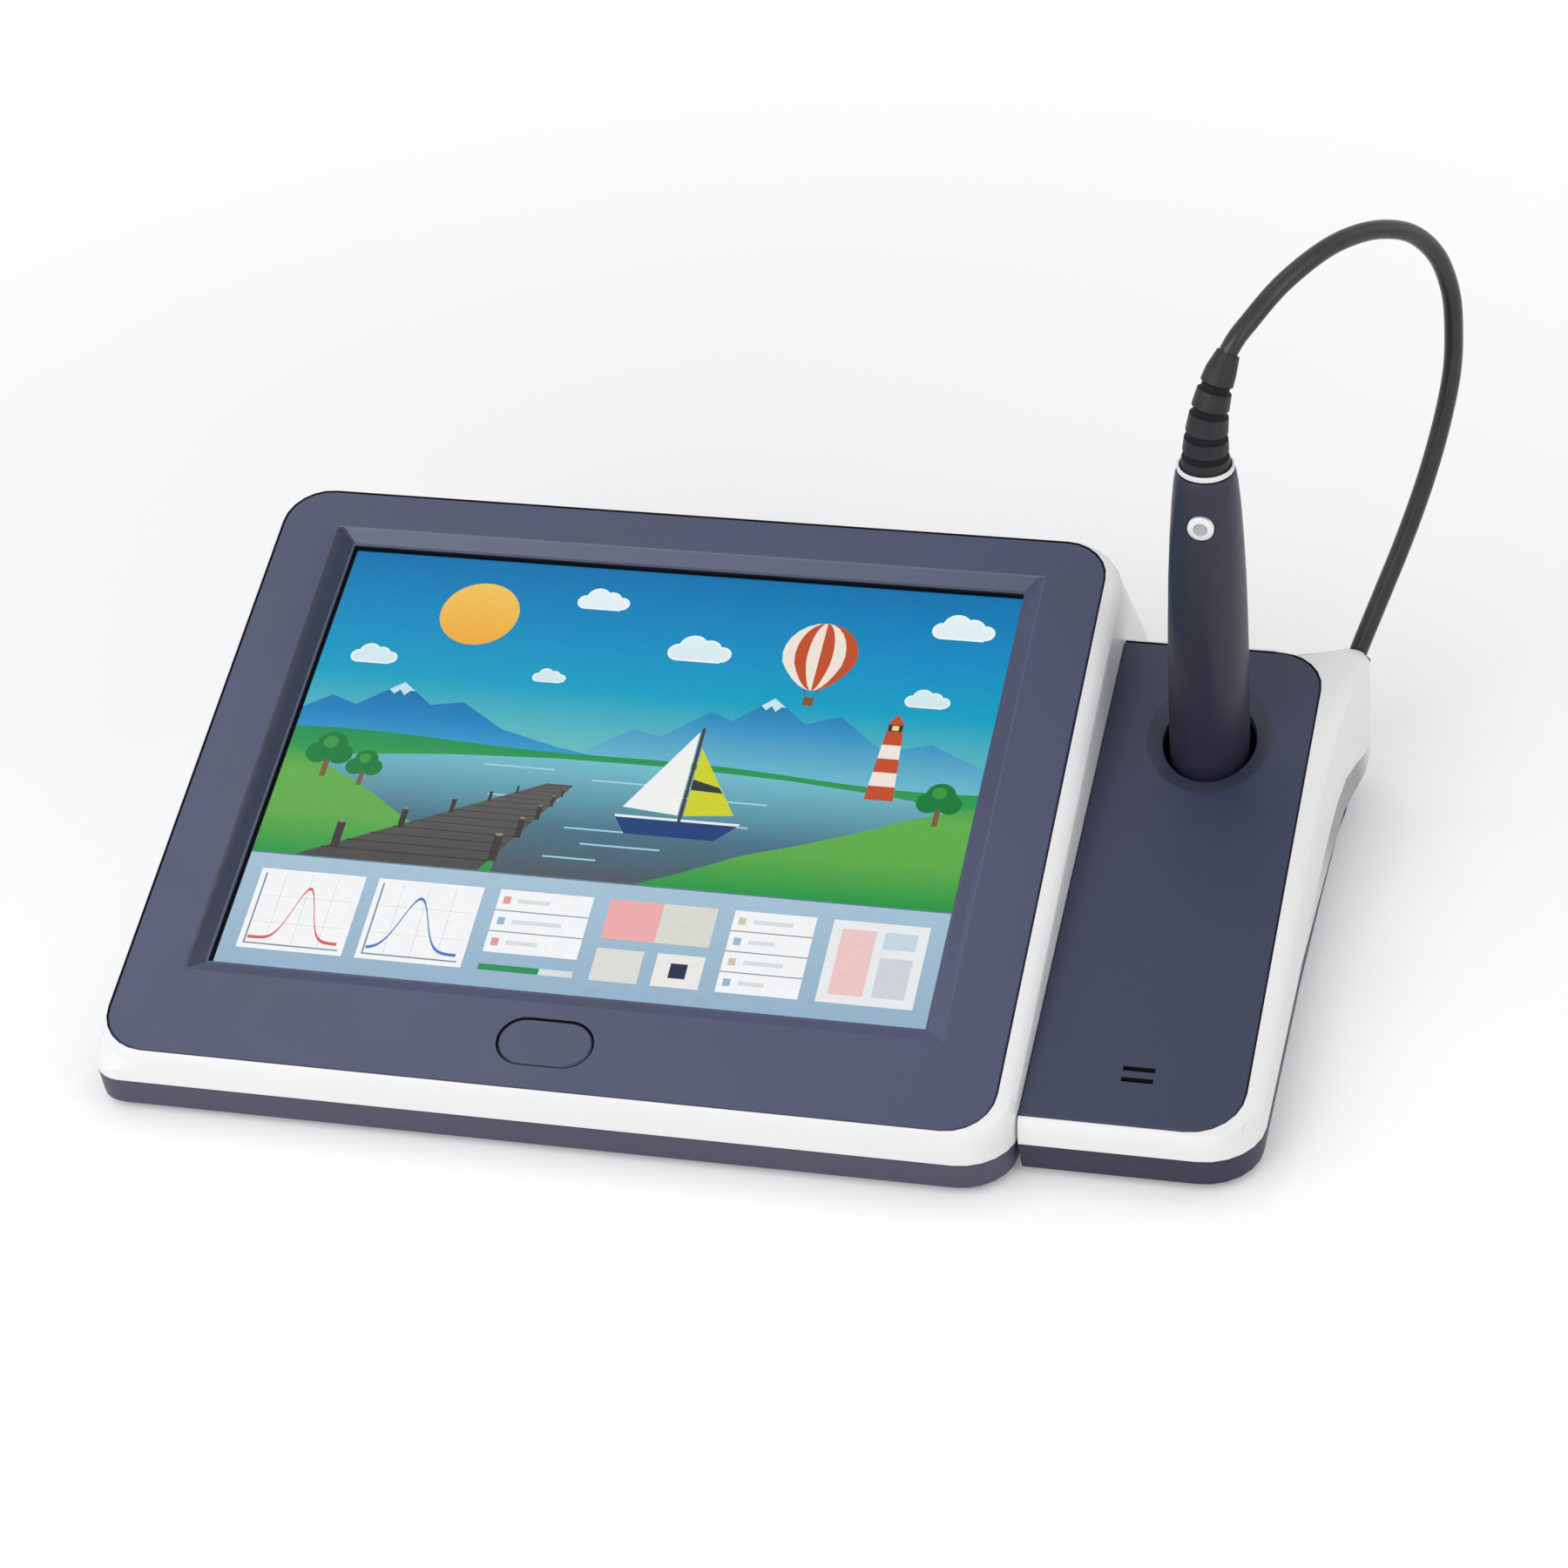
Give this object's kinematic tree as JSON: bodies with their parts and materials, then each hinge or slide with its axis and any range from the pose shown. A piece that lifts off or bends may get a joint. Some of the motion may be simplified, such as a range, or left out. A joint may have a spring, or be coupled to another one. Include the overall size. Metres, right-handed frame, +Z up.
{
  "type": "tympanometer",
  "caption": "Desktop tympanometer: tilted touch screen unit in a white shell with a lower side housing, a hand probe docked upright in an oval well, and a looping probe cable.",
  "frame": {"origin": "centre of the underside of the feet, under the middle of the object without its cable", "axes": "+Z up, -Y towards the user at the front edge, +X towards the side housing with the probe"},
  "size_m": [0.3636, 0.2484, 0.1956],
  "materials": {
    "slate_plastic": "fine satin",
    "white_plastic": "satin",
    "black_rubber": "matte",
    "screen_glass": "clear",
    "green_board": "satin",
    "steel": "brushed",
    "dark_plastic": "matte",
    "silicone_tube": "satin"
  },
  "bodies": {
    "housing": {"air_pump": "steel", "air_tube": "silicone_tube", "bezel": "slate_plastic", "button_board": "green_board", "button_switch": "dark_plastic", "cable_gland": "black_rubber", "case_screw_front_left": "steel", "case_screw_front_right": "steel", "case_screw_rear_left": "steel", "case_screw_rear_right": "steel", "case_screw_side_front": "steel", "case_screw_side_rear": "steel", "data_socket_a": "dark_plastic", "data_socket_b": "dark_plastic", "display_module": "steel", "display_tray": "steel", "foot_front_left": "black_rubber", "foot_front_right": "black_rubber", "foot_rear_left": "black_rubber", "foot_rear_right": "black_rubber", "foot_side_front": "black_rubber", "foot_side_rear": "black_rubber", "loudspeaker": "dark_plastic", "main_base": "slate_plastic", "main_board": "green_board", "main_shell": "white_plastic", "power_board": "green_board", "power_inlet": "dark_plastic", "pressure_sensor_block": "dark_plastic", "probe_cable": "black_rubber", "probe_well": "dark_plastic", "processor_shield": "steel", "pump_motor": "dark_plastic", "pump_saddle": "steel", "ribbon_cable": "dark_plastic", "ribbon_plug_main": "dark_plastic", "ribbon_plug_side": "dark_plastic", "side_base": "slate_plastic", "side_board": "green_board", "side_cover": "slate_plastic", "side_shell": "white_plastic", "touch_glass": "screen_glass"},
    "front_button": {"front_button": "slate_plastic"},
    "probe": {"probe_handle": "slate_plastic", "probe_nose": "slate_plastic", "probe_tip": "dark_plastic", "probe_collar": "white_plastic", "bend_protector": "black_rubber", "probe_switch": "dark_plastic", "probe_board": "green_board", "probe_receiver": "steel", "probe_microphone": "steel"},
    "probe_button": {"probe_button": "white_plastic"}
  },
  "joints": [
    {"name": "front_button_press", "type": "slide", "parent": "housing", "child": "front_button", "axis": [0, 0.2588, -0.9659], "range_m": [0, 0.0008], "stiffness_N_per_m": 1500, "springref_m": -0.0004},
    {"name": "probe_lift", "type": "slide", "parent": "housing", "child": "probe", "axis": [0, 0, 1], "range_m": [0, 0.09], "deforming": ["probe_cable"]},
    {"name": "probe_button_press", "type": "slide", "parent": "probe", "child": "probe_button", "axis": [0, 1, 0], "range_m": [0, 0.0007], "stiffness_N_per_m": 1500, "springref_m": -0.0003}
  ]
}
